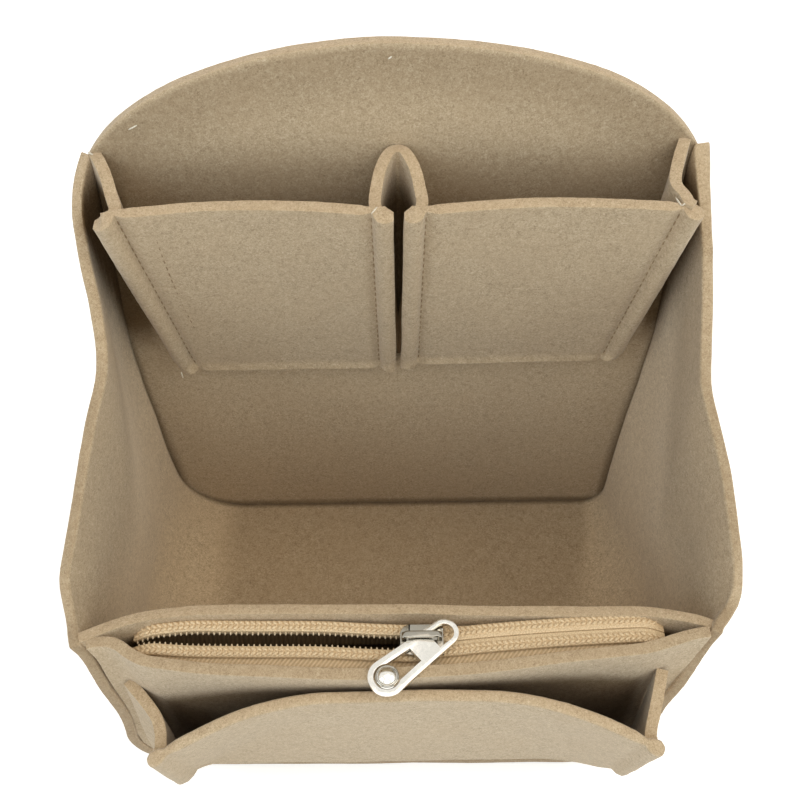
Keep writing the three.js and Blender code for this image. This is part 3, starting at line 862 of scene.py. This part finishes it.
for side, name in sides:
    label = name.capitalize()
    rider = "rear_pocket_" + name
    rearPlace = rearPlaceFor(side)
    panel = clothSheet("feltRearPocket" + label, rearPocket["across"], rearPocket["up"], rearPlace, feltPair,
                       thick=rearPocket["lobe"], loft=rearLoft, rounding=rearPocket["rounding"])
    finished(panel, rider, ["rear_pocket_panel_" + name])
    seams = []
    for inner in (True, False):
        def seamPath(t, inner=inner):
            w = mix(*rearPocket["seamEnds"], t)
            share = rearPocket["seam"] / (rearEdge(w) - rearGap(w))
            return (share if inner else 1 - share), w
        seams += stitchLine(rearPlace, side, seamPath, 2 * rearPocket["pinch"])
    if side < 0:
        # dark beads sunk into the felt paint the shade in the needle holes
        seams += stitchLine(rearPlace, side, needleHoleShadePath, felt["thick"] - crease["press"])
    # stitches and needle-line beads, whose dark thread also paints the shade in the groove and in the needle
    # holes
    sewn("stitchRear" + label, seams, stitch["thick"], seamThreadAndGrooveShade, rider)
    gusset = clothSheet("feltRearGusset" + label, rearGusset["across"], rearGusset["up"], rearGussetFor(side),
                        feltPair, loft=gussetLoft(rearGusset["low"], rearGusset["top"][side]))
    # painted shade on each gusset's outer face, in the gap beside the strip
    shaded(gusset, lambda x, y, z, n, side=side: facing(n.x * side) * ease(z, *pocketShade["gusset"]))
    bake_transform(gusset)
    finished(gusset, None, ["rear_gusset_" + name])
    half = clothSheet("feltCentreGusset" + label, centreGusset["across"], centreGusset["up"],
                      centreGussetFor(side), feltPair,
                      loft=gussetLoft(centreGusset["low"], centreGusset["top"]))

    # painted shade on the faces inside the hollow between the centre gusset's halves
    def tentPaintedShade(x, y, z, n, side=side):
        return max(facing(-n.x * side), ease(-n.y, 0.2, 0.6)) * ease(z, *pocketShade["tent"])
    shaded(half, tentPaintedShade)
    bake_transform(half)
    finished(half, None, ["rear_gusset_center"])


stripShade = {  # amounts of painted shade, below zero painted light, and the runs in mm over which they come and go
    "flangeRun": (1, 7), "flangeLow": (82, 100), "flangeTop": (158, 146),
    "seam": 0.65, "seamFacing": (0.2, 0.6), "seamRun": (45, 47), "seamTop": (140, 110),
    "rimFrom": (70, 80), "rimFacing": (0.5, 0.9), "front": 0.42, "frontRun": (20, 0), "end": 0.36,
    "endRun": (-42, -46), "slope": 0.16, "slopeTop": (150, 140),
    "inside": (0.06, -0.4), "insideRun": (4, 34), "rearSlope": 1.5,
}


def stripPaintedShade(x, y, z, n):  # painted shade on the strip beside a rear pocket, at its seam on the wall and along its rim, and painted light low on its inner faces
    inward = facing(-n.x * sideOf(x))
    flange = inward * ease(y - rearY(z), *stripShade["flangeRun"])
    flange *= ease(z, *stripShade["flangeLow"]) * ease(z, *stripShade["flangeTop"])
    seam = max(inward, ease(n.z, *stripShade["seamFacing"]))
    seam *= ease(y, *stripShade["seamRun"]) * ease(z, *stripShade["seamTop"])
    upper = ease(z, *stripShade["rimFrom"])
    front = ease(n.z, *stripShade["rimFacing"]) * upper * ease(y, *stripShade["frontRun"])
    end = ease(-n.y, *stripShade["rimFacing"]) * ease(y, *stripShade["endRun"])
    slope = ease(max(n.z, -n.y), *stripShade["rimFacing"]) * upper * ease(z, *stripShade["slopeTop"])
    below = strip["frontTop"] + stripShade["rearSlope"] * max(y, 0) - z
    inside = inward * mix(*stripShade["inside"], ease(below, *stripShade["insideRun"]))
    rims = [stripShade[name] * share for name, share in
            (("seam", seam), ("front", front), ("end", end), ("slope", slope))]
    return mix(inside, 1, max(flange, *rims))


# painted shade on the back wall, and painted light on its top edge (brim)
wallShade = {
    "flange": (70, 75), "flangeLow": (82, 98), "flangeTop": (154, 142), "slit": (5, 2), "slitLow": (80, 86),
    "slitTop": (152, 142), "mouth": 0.3, "mouthLow": (82, 90), "mouthTop": (162, 150),
    "seam": 0.65, "seamRun": (-2.5, 0), "seamTop": (140, 110), "brim": -0.08, "brimHeight": 1.2,
    "top": 0.32, "topRun": (22, 5),
}


def wallPaintedShade(x, y, z, n):  # painted shade on the wall at the outer flanges, in the slit between the pockets, under the pocket mouths, along its seams and under the dome, and painted light on its top edge
    def band(name):
        return ease(z, *wallShade[name + "Low"]) * ease(z, *wallShade[name + "Top"])
    across = abs(x - rearPocket["shift"])
    flange = ease(across, *wallShade["flange"]) * band("flange")
    slit = ease(across, *wallShade["slit"]) * band("slit")
    mouth = wallShade["mouth"] * band("mouth")
    edge = body["halfWidth"] - rearTuck(sideOf(x), max(z, 0)) - felt["thick"]
    sideSeam = ease(abs(x) - edge, *wallShade["seamRun"]) * ease(z, *wallShade["seamTop"])
    lowSeam = ease(lowEdge(x) + felt["thick"] - z, *wallShade["seamRun"])
    seam = wallShade["seam"] * max(sideSeam, lowSeam)
    below = domeTop(x) - z
    top = wallShade["top"] * ease(below, *wallShade["topRun"])
    if below < wallShade["brimHeight"]:
        top = wallShade["brim"]
    return mix(top, 1, facing(-n.y) * max(flange, slit, mouth, seam))


# painted shade and painted light on the side strip and on the back wall
shaded(sideStrip, stripPaintedShade)
shaded(wall, wallPaintedShade)
threadEnds = {
    "body": [((-77.3, 47.4, 158.2), (-75.4, 45.6, 158.7)), ((-65.7, 47.2, 164.8), (-63.1, 47.2, 166.2)),
             ((-0.9, 47.2, 183.6), (0.1, 47.2, 184.4))],
    "rear_pocket_left": [((-5.5, 25.6, 155.0), (-3.9, 28.2, 155.2)),
                         ((-65.5, 42.2, 80.8), (-65.2, 41.9, 78.1))],
    "rear_pocket_right": [((69.2, 30.0, 155.5), (70.2, 26.9, 155.3)),
                          ((70.2, 26.9, 155.3), (72.1, 28.2, 155.7))],
}
for rider, ends in threadEnds.items():
    lifted = [[Vector((x, y + yShift, z)) for x, y, z in pair] for pair in ends]
    label = rider.replace("_", " ").title().replace(" ", "")
    sewn("threadEnd" + label, lifted, stitch["tail"], whiteThread, rider)
print("rear pockets made")

# Front pocket
frontPocket = {
    "across": 84, "up": 40, "width": 130.6, "shift": 0.9, "crown": 73.0, "sideTop": {-1: 57.0, 1: 62.0},
    "archPower": 2.6, "sideLow": 18.0, "lift": 14.5, "gap": (0.3, 1.0), "depth": 19.4, "depthTop": 63.0,
    "footDepth": {-1: 8.4, 1: 7.0}, "flare": 1.9, "flat": 40.0, "footFlat": {-1: 110.0, 1: 76.0},
    "foot": -52.3, "seam": 4.6, "lobe": 4.6, "tip": 1.15, "pinch": 1.05, "run": 3.2,
}
frontGusset = {"across": 20, "up": 22, "root": {-1: 72.6, 1: 67.6}, "end": 62.6, "bow": {-1: 2.6, 1: 0},
               "rise": 4.0, "bend": 2.4}


def frontSide(x, share):
    flat = mix(frontPocket["footFlat"][sideOf(x)], frontPocket["flat"], min(max(share, 0), 1))
    past = max(abs(x) - flat / 2, 0) / ((frontPocket["width"] - flat) / 2)
    return past ** frontPocket["flare"]


def frontY(x, z):
    low, spread = frontPocket["gap"]
    middle = outerY(0, z) - felt["thick"] - low - spread * z / body["frontHeight"]
    share = (z - frontPocket["sideLow"]) / (frontPocket["depthTop"] - frontPocket["sideLow"])
    footDepth = frontPocket["footDepth"][sideOf(x)]
    edge = frontPocket["foot"] - mix(footDepth, frontPocket["depth"], share)
    return mix(middle, edge, frontSide(x, share))


def frontTop(x):
    share = 2 * abs(x) / frontPocket["width"]
    return mix(frontPocket["crown"], frontPocket["sideTop"][sideOf(x)], share ** frontPocket["archPower"])


def frontLow(x):
    return mix(frontPocket["lift"], frontPocket["sideLow"], frontSide(x, 0))


def frontPlace(u, w):
    x = mix(-frontPocket["width"] / 2, frontPocket["width"] / 2, u)
    z = mix(frontLow(x), frontTop(x), w)
    return x + frontPocket["shift"], frontY(x, z), z


def frontLoft(u, w):
    return 2 * lobe(frontPocket, min(u, 1 - u) * frontPocket["width"]) / frontPocket["lobe"]


def frontGussetFor(side):
    def place(u, w):
        z = mix(frontPocket["sideLow"] + 1, frontPocket["sideTop"][side] - 0.5, w)
        edge = frontPocket["width"] / 2
        rootX = frontGusset["root"][side]
        rootY = outerY(side * rootX, z) - felt["thick"] / 2
        front = frontY(side * edge, z)
        depth = rootY - front
        middle = (mix(rootX, frontGusset["end"], 0.55) - frontGusset["bow"][side], rootY - 0.42 * depth)
        front += frontGusset["bend"]
        point = onCurve([(rootX, rootY), middle, (frontGusset["end"], front + 0.12 * depth),
                         (edge - 2.6, front + 0.3), (edge - 1.4, front)], u)
        rise = frontGusset["rise"] * (1 - ease(u, 0, 0.8)) * w
        return side * point.x + frontPocket["shift"], point.y, z + rise
    return place


frontPanel = clothSheet("feltFrontPocket", frontPocket["across"], frontPocket["up"], frontPlace, feltPair,
                        thick=frontPocket["lobe"], loft=frontLoft, rounding=rearPocket["rounding"])
finished(frontPanel, "front_pocket", ["front_pocket_panel"])
for side, name in sides:
    gusset = clothSheet("feltFrontGusset" + name.capitalize(), frontGusset["across"], frontGusset["up"],
                        frontGussetFor(side), feltPair)
    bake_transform(gusset)
    finished(gusset, None, ["front_gusset_" + name])
# painted shade inside the front pocket and the zip pocket, behind the front pocket and on the layers' rims
frontShade = {"panelRun": (1, 7), "mouth": 4.0, "behind": 0.85, "behindRun": (-2.5, 5.5), "zipRun": (74, 70),
              "innerRim": 0.06, "outerRim": 0.14, "rimFacing": (0.5, 0.9)}


def panelPaintedShade(x, y, z, n):  # painted shade inside the front pocket
    return facing(n.y) * ease(frontTop(x - frontPocket["shift"]) - z, *frontShade["panelRun"])


def outerPaintedShade(x, y, z, n):  # painted shade inside the zip pocket, behind the front pocket and on the outer layer's rim
    across = x - frontPocket["shift"]
    mouth = ease(frontPocket["width"] / 2 - abs(across), 0, frontShade["mouth"])
    behind = mouth * ease(frontTop(across) - z, *frontShade["behindRun"]) if mouth else 0
    inside = facing(n.y) * ease(z, *frontShade["zipRun"])
    rim = frontShade["outerRim"] * ease(n.z, *frontShade["rimFacing"])
    return max(inside, facing(-n.y) * behind * frontShade["behind"], rim)


# painted shade inside the zip pocket and on the inner layer's rim
def innerPaintedShade(x, y, z, n):
    rim = frontShade["innerRim"] * ease(n.z, *frontShade["rimFacing"])
    return max(facing(-n.y) * ease(z, *frontShade["zipRun"]), rim)


# painted shade on the front pocket and on the zip pocket's layers
shaded(frontPanel, panelPaintedShade)
shaded(zipOuter, outerPaintedShade)
shaded(zipInner, innerPaintedShade)
print("front pocket made")

# Zipper tapes and coils
zipper = {
    "half": 69.0, "height": 75.5, "opening": 2.4, "taper": 18.0, "closedRise": 0.28, "closedRun": (13, 26),
    "endDrop": 3.2, "endRun": (60, 70), "sliderAt": 5.7, "sliderLength": 11.0, "postEnd": 3.2, "across": 120,
    "line": [(-70, -45.3), (-55, -45.2), (-38, -45.6), (-20, -46.0), (-6, -47.0), (4, -47.5), (12, -47.3),
             (20.6, -46.6), (40.7, -45.2), (62, -44.3), (70, -44.4)],
    "tapeTop": 74.45, "tapeThick": 0.8, "tapeDrop": 9.0, "tapeRows": 16, "tapeGap": 0.2,
    "tapeShadeRun": (73.45, 71.95),
    "coil": 3.9, "coilThick": 1.1, "coilRows": 4, "tooth": 1.1, "pitch": 1.42, "inset": 1.5,
    "rows": ((1, 1.85), (-1, 3.1)), "rowLift": 0.42, "rowTurn": 38, "stitchSize": (1.95, 1.05, 1.0),
    "tip": 0.8, "tipDrop": {-1: 0.1, 1: 0.75}, "tipSize": (0.55, 1.3, 0.85),
}


def openHalf(x):
    start = ease(x, -zipper["half"], -zipper["half"] + zipper["taper"])
    end = ease(x, zipper["postEnd"], zipper["sliderAt"] + zipper["sliderLength"] / 2)
    return zipper["opening"] / 2 * start * (1 - end)


def chainY(x):
    return waveAt(zipper["line"], x)


def closedShare(x):
    return ease(x, zipper["sliderAt"], zipper["sliderAt"] + zipper["sliderLength"] / 2)


def endDrop(x):
    sunk = zipper["endDrop"] * ease(abs(x), *zipper["endRun"]) ** 2
    return sunk - zipper["closedRise"] * ease(x, *zipper["closedRun"])


def tapeFor(layerY, side):
    def place(u, w):
        x = mix(-zipper["half"], zipper["half"], u)
        low = zipper["tapeTop"] - zipper["tapeDrop"]
        out = side * (felt["thick"] / 2 + zipper["tapeGap"] + zipper["tapeThick"] / 2)
        edge = chainY(x) + side * (openHalf(x) + zipper["tooth"])
        mid = zipper["tapeTop"] - zipper["tapeThick"] / 2
        top = layerY(x, mid) - out
        point = onCurve([(layerY(x, low) - out, low), (layerY(x, mid - 3) - out, mid - 3),
                         (top - side * 0.6, mid - 0.3), (mix(top, edge, 0.5), mid), (edge, mid)], w)
        return x, point.x, point.y - endDrop(x) * 0.8
    return place


def coilPoint(x, side, offset):
    return Vector((x, chainY(x) + side * (openHalf(x) + offset) + yShift, zipper["height"] - endDrop(x)))


def coilFor(side):
    def place(u, w):
        x = mix(-zipper["half"] + 0.5, zipper["half"] - 0.5, u)
        inner = mix(zipper["tooth"] - 0.2, 0.08, closedShare(x))
        p = coilPoint(x, side, mix(inner, zipper["coil"], w))
        return p.x, p.y - yShift, p.z - 0.15
    return place


for side, name, layerY, phase in ((1, "Rear", innerY, 0.0), (-1, "Front", outerY, 0.5)):
    tape = clothSheet("zipTape" + name, zipper["across"], zipper["tapeRows"], tapeFor(layerY, side),
                      [tapeTwill], thick=zipper["tapeThick"], rounding=0, fuzz=False)
    # painted shade on the tape where it hangs down inside the zip's slit
    shaded(tape, lambda x, y, z, n: ease(z, *zipper["tapeShadeRun"]))
    finished(tape, "body", ["zipper_tape_" + name.lower()])
    band = clothSheet("coilBand" + name, zipper["across"], zipper["coilRows"], coilFor(side), [coilNylon],
                      thick=zipper["coilThick"], rounding=0.3, fuzz=False)
    count = int(2 * (zipper["half"] - zipper["inset"]) / zipper["pitch"])
    stitchPlaces, tipPlaces = [], []
    for k in range(count):
        x = -zipper["half"] + zipper["inset"] + (k + phase) * zipper["pitch"]
        for row, offset in zipper["rows"]:
            p = coilPoint(x, side, offset)
            p.z += zipper["rowLift"]
            slant = Matrix.Rotation(row * side * math.radians(zipper["rowTurn"]), 4, "Z")
            stitchPlaces.append(Matrix.Translation(p * mm) @ slant)
        if closedShare(x) < 0.5:
            p = coilPoint(x, side, zipper["tip"])
            p.z -= zipper["tipDrop"][side]
            tipPlaces.append(Matrix.Translation(p * mm))
    stitches = copies(bead("coilStitch", zipper["stitchSize"], coilNylon), stitchPlaces)
    tips = copies(bead("coilTip", zipper["tipSize"], toothNylon), tipPlaces)
    coil = joined([band] + stitches + tips, "zipCoil" + name)
    finished(coil, "body", ["zipper_coil_" + name.lower()])
print("zipper made")

# Slider, pull and stud
metal = {"bevel": 0.22, "bevelSteps": 3, "bevelAngle": 40, "smoothAngle": 35, "weld": 0.00002, "flat": 2}


def fromNode(node, name, finish):
    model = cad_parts[node]
    piece = model.copy()
    piece.data = model.data.copy()
    piece.parent = None
    for key in list(piece.keys()):
        del piece[key]
    bpy.context.collection.objects.link(piece)
    piece.matrix_world = Matrix.Identity(4)
    named(piece, name)
    piece.data.materials.clear()
    piece.data.materials.append(finish)
    select(piece)
    editAll()
    bpy.ops.mesh.remove_doubles(threshold=metal["weld"])
    bpy.ops.mesh.dissolve_limited(angle_limit=math.radians(metal["flat"]))
    bpy.ops.mesh.normals_make_consistent(inside=False)
    editDone()
    applied(piece, "BEVEL", width=metal["bevel"] * mm, segments=metal["bevelSteps"], limit_method="ANGLE",
            angle_limit=math.radians(metal["bevelAngle"]))
    select(piece)
    bpy.ops.object.shade_smooth_by_angle(angle=math.radians(metal["smoothAngle"]))
    return piece


# the slider in the darker nickel, which paints shade
slider = fromNode("zipper_slider", "zipSlider", nickelPaintedShade)
finished(slider, "slider", ["zipper_slider"])
pull = fromNode("pull_tab", "pullTab", nickelPaintedLit)
finished(pull, "pull", ["pull_tab"])
studLow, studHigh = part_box("pull_stud")
studForm = {"dome": 2.35, "domeRise": 1.5, "bezel": 2.72, "bezelWire": 0.28, "base": 2.8, "baseHeight": 1.1}
studMiddle = (studLow + studHigh) / 2
studSeat = (studMiddle.x, studMiddle.y, studLow.z + studForm["baseHeight"] * mm)


def metalBase(name, finish):
    piece = bpy.context.active_object
    piece.name = name
    bpy.ops.object.shade_smooth_by_angle(angle=math.radians(metal["smoothAngle"]))
    piece.data.materials.append(finish)
    return piece


deselect()
baseHalf = studForm["baseHeight"] / 2 * mm
bpy.ops.mesh.primitive_cylinder_add(vertices=40, radius=studForm["base"] * mm, depth=2 * baseHalf,
                                    location=(studMiddle.x, studMiddle.y, studLow.z + baseHalf))
studBase = metalBase("studBase", nickelPaintedLit)
# the stud's ring in the darker nickel, which paints the shade round the dome
bpy.ops.mesh.primitive_torus_add(major_segments=40, minor_segments=10, major_radius=studForm["bezel"] * mm,
                                 minor_radius=studForm["bezelWire"] * mm, location=studSeat)
studBezel = metalBase("studBezel", nickelPaintedShade)
bpy.ops.mesh.primitive_uv_sphere_add(segments=32, ring_count=16, radius=studForm["dome"] * mm,
                                     location=studSeat)
studDome = metalBase("studDome", nickelPaintedLit)
editAll()
bpy.ops.transform.resize(value=(1, 1, studForm["domeRise"] / studForm["dome"]))
editDone()
stud = joined([studBase, studBezel, studDome], "pullStud")
finished(stud, "pull", ["pull_stud"])
print("slider and pull made")

# Floor, light and view
stage = {
    "floor": 3.0, "floorHeight": -0.0002, "floorRough": 0.9, "white": 0.5,
    "world": 0.55, "mirror": 0.4, "worldTint": (1.0, 0.97, 0.9, 1),
    "lamps": {  # place, width, height, watts and tint
        "topLight": ((0.05, -0.15, 1.1), 0.9, 0.9, 2.2, (1.0, 0.85, 0.72)),
        "rightLight": ((0.9, -0.25, 0.9), 0.8, 0.8, 4.3, (1.0, 0.94, 0.8)),
        "leftLight": ((-0.85, -0.45, 0.7), 0.6, 0.6, 2.5, (0.84, 0.95, 1.0)),
        "rightLowLight": ((0.8, -0.6, 0.3), 0.6, 0.6, 0.5, (0.65, 0.95, 1.0)),
        "frontFill": ((0.0, -0.8, 0.45), 0.7, 0.7, 2.0, (0.88, 0.96, 1.0)),
    },
    "aim": (0, 0, 0.08),
}


def floorFinish():
    finish, tree, shader = blank("paleFloor")
    mottle = noiseNode(tree, objectPlace(tree), 3.0, 2.0, 0.5)
    tree.links.new(rampNode(tree, mottle, [(0.3, grey(0.86)), (0.7, grey(0.9))]), shader.inputs["Base Color"])
    setInputs(shader, {"Roughness": stage["floorRough"], "Emission Color": grey(1)})
    rays = tree.nodes.new("ShaderNodeLightPath").outputs
    seen = mathNode(tree, "MAXIMUM", rays["Is Camera Ray"], rays["Is Glossy Ray"])
    seen = mathNode(tree, "MAXIMUM", seen, rays["Is Transmission Ray"])
    tree.links.new(mathNode(tree, "MULTIPLY", seen, stage["white"]), shader.inputs["Emission Strength"])
    return finish


deselect()
bpy.ops.mesh.primitive_plane_add(size=stage["floor"], location=(0, 0, stage["floorHeight"]))
floor = bpy.context.active_object
floor.name = "paleFloor"
floor.data.materials.append(floorFinish())

for name, (place, wide, high, power, tint) in stage["lamps"].items():
    bpy.ops.object.light_add(type="AREA", location=place)
    lamp = bpy.context.active_object
    lamp.name = name
    lamp.data.shape = "RECTANGLE"
    lamp.data.size = wide
    lamp.data.size_y = high
    lamp.data.energy = power
    lamp.data.color = tint
    lamp.rotation_euler = (Vector(stage["aim"]) - Vector(place)).to_track_quat("-Z", "Y").to_euler()
world = bpy.data.worlds.new("studio")
bpy.context.scene.world = world
world.use_nodes = True
sky = world.node_tree
backdrop = sky.nodes["Background"]
backdrop.inputs["Color"].default_value = stage["worldTint"]
glossy = sky.nodes.new("ShaderNodeLightPath").outputs["Is Glossy Ray"]
mirrored = mathNode(sky, "MULTIPLY", glossy, stage["mirror"])
sky.links.new(mathNode(sky, "ADD", mirrored, stage["world"]), backdrop.inputs["Strength"])
bpy.context.scene.view_settings.view_transform = "Standard"
print("stage lit")
